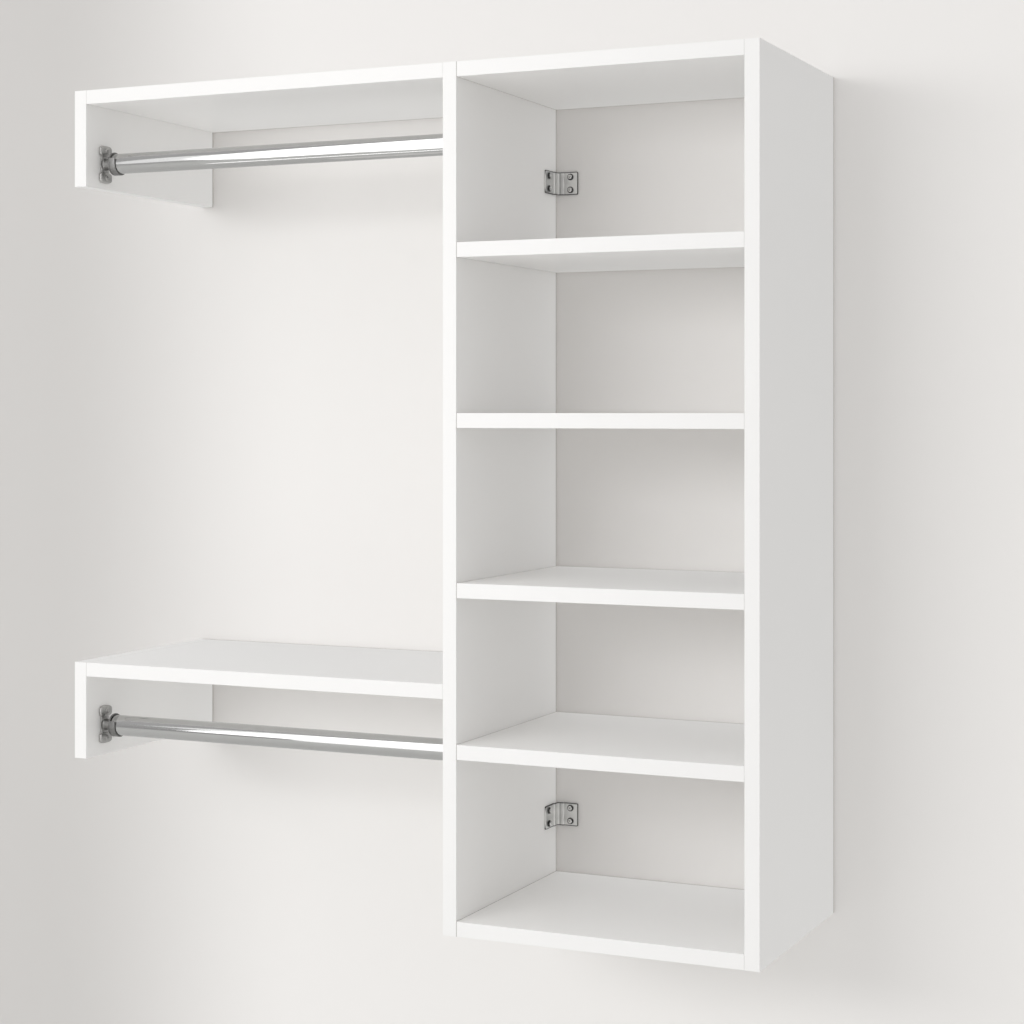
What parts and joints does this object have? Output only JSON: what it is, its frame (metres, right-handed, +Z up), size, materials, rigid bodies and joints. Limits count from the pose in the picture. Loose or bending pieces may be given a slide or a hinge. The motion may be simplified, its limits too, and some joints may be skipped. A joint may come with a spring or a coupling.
{
  "type": "wall-mounted clothes rack",
  "caption": "White board clothes rack for a wall: an open shelf tower with two hanging sections beside it, each with a shelf, an end panel and a lift-out chromed rod.",
  "frame": {"origin": "on the wall plane, at the centre of the rectangle of the four outermost wall screws of the shelf tower", "axes": "+X right along the wall as seen from the room, +Y into the wall, +Z up"},
  "size_m": [0.984, 0.363, 1.137],
  "materials": {
    "white_melamine": "white melamine facing on chipboard, satin",
    "edge_banding": "white plastic edge band, satin",
    "rod_chrome": "chromed steel tube",
    "socket_zinc": "satin nickel plated zinc casting",
    "bracket_steel": "zinc plated pressed steel",
    "screw_steel": "zinc plated steel",
    "fitting_zinc": "bare zinc casting",
    "dowel_wood": "fluted beech"
  },
  "bodies": {
    "frame": {"bracket_screws": "screw_steel", "cam_bolts": "fitting_zinc", "cam_locks": "fitting_zinc", "dowels": "dowel_wood", "lower_end_panel": "white_melamine", "lower_end_panel_edge_band": "edge_banding", "lower_hanging_shelf": "white_melamine", "lower_hanging_shelf_edge_band": "edge_banding", "lower_left_rod_socket": "socket_zinc", "lower_right_rod_socket": "socket_zinc", "lower_shelf_bracket": "bracket_steel", "socket_screws": "screw_steel", "tower_bottom_board": "white_melamine", "tower_bottom_board_edge_band": "edge_banding", "tower_bottom_left_bracket": "bracket_steel", "tower_bottom_right_bracket": "bracket_steel", "tower_left_panel": "white_melamine", "tower_left_panel_edge_band": "edge_banding", "tower_right_panel": "white_melamine", "tower_right_panel_edge_band": "edge_banding", "tower_shelf_1": "white_melamine", "tower_shelf_1_edge_band": "edge_banding", "tower_shelf_2": "white_melamine", "tower_shelf_2_edge_band": "edge_banding", "tower_shelf_3": "white_melamine", "tower_shelf_3_edge_band": "edge_banding", "tower_shelf_4": "white_melamine", "tower_shelf_4_edge_band": "edge_banding", "tower_top_board": "white_melamine", "tower_top_board_edge_band": "edge_banding", "tower_top_left_bracket": "bracket_steel", "tower_top_right_bracket": "bracket_steel", "upper_end_panel": "white_melamine", "upper_end_panel_edge_band": "edge_banding", "upper_hanging_shelf": "white_melamine", "upper_hanging_shelf_edge_band": "edge_banding", "upper_left_rod_socket": "socket_zinc", "upper_right_rod_socket": "socket_zinc", "upper_shelf_bracket": "bracket_steel", "wall_screws": "screw_steel"},
    "upper_rod": {"upper_rod": "rod_chrome"},
    "lower_rod": {"lower_rod": "rod_chrome"}
  },
  "joints": [
    {"name": "upper_rod_lift", "type": "slide", "parent": "frame", "child": "upper_rod", "axis": [0, 0, 1], "range_m": [0, 0.025]},
    {"name": "lower_rod_lift", "type": "slide", "parent": "frame", "child": "lower_rod", "axis": [0, 0, 1], "range_m": [0, 0.025]}
  ]
}
